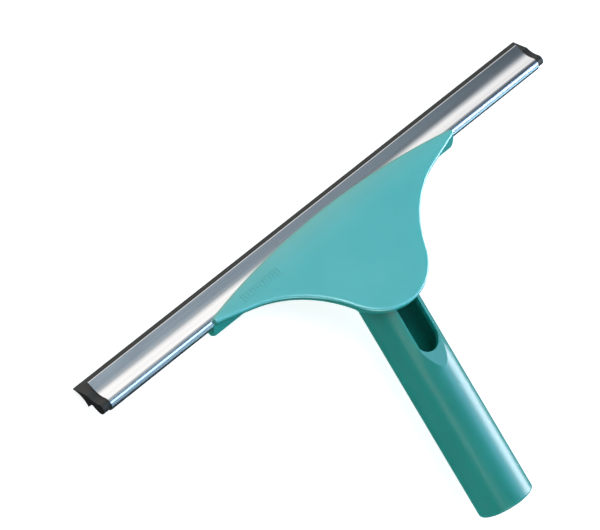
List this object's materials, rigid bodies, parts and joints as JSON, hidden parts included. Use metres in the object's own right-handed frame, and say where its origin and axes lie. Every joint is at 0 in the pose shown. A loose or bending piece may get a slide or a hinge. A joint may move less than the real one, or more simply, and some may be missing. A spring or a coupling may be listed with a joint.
{
  "type": "window cleaning squeegee",
  "caption": "Hand squeegee for windows: a hollow plastic handle with a pole socket and a wide head that clamps a metal rail holding a long rubber blade.",
  "frame": {"origin": "centre of the pole socket's mouth, at the handle's open end, on the handle's axis", "axes": "+Y along the handle from its open end to the blade, +X along the blade, +Z out of the front face, the side with the cover"},
  "size_m": [0.34, 0.1833, 0.0415],
  "materials": {
    "handle_plastic": "fine satin moulded polypropylene",
    "cover_plastic": "fine satin moulded polypropylene",
    "rail_steel": "stainless sheet, brushed along its length",
    "blade_rubber": "smooth extruded rubber",
    "screw_steel": "bright zinc plating"
  },
  "bodies": {
    "squeegee": {"handle_body": "handle_plastic", "front_cover": "cover_plastic", "rail": "rail_steel", "cover_screws": "screw_steel"},
    "blade": {"rubber_blade": "blade_rubber"}
  },
  "joints": [
    {"name": "blade_slide", "type": "slide", "parent": "squeegee", "child": "blade", "axis": [1, 0, 0], "range_m": [-0.335, 0.335]}
  ]
}
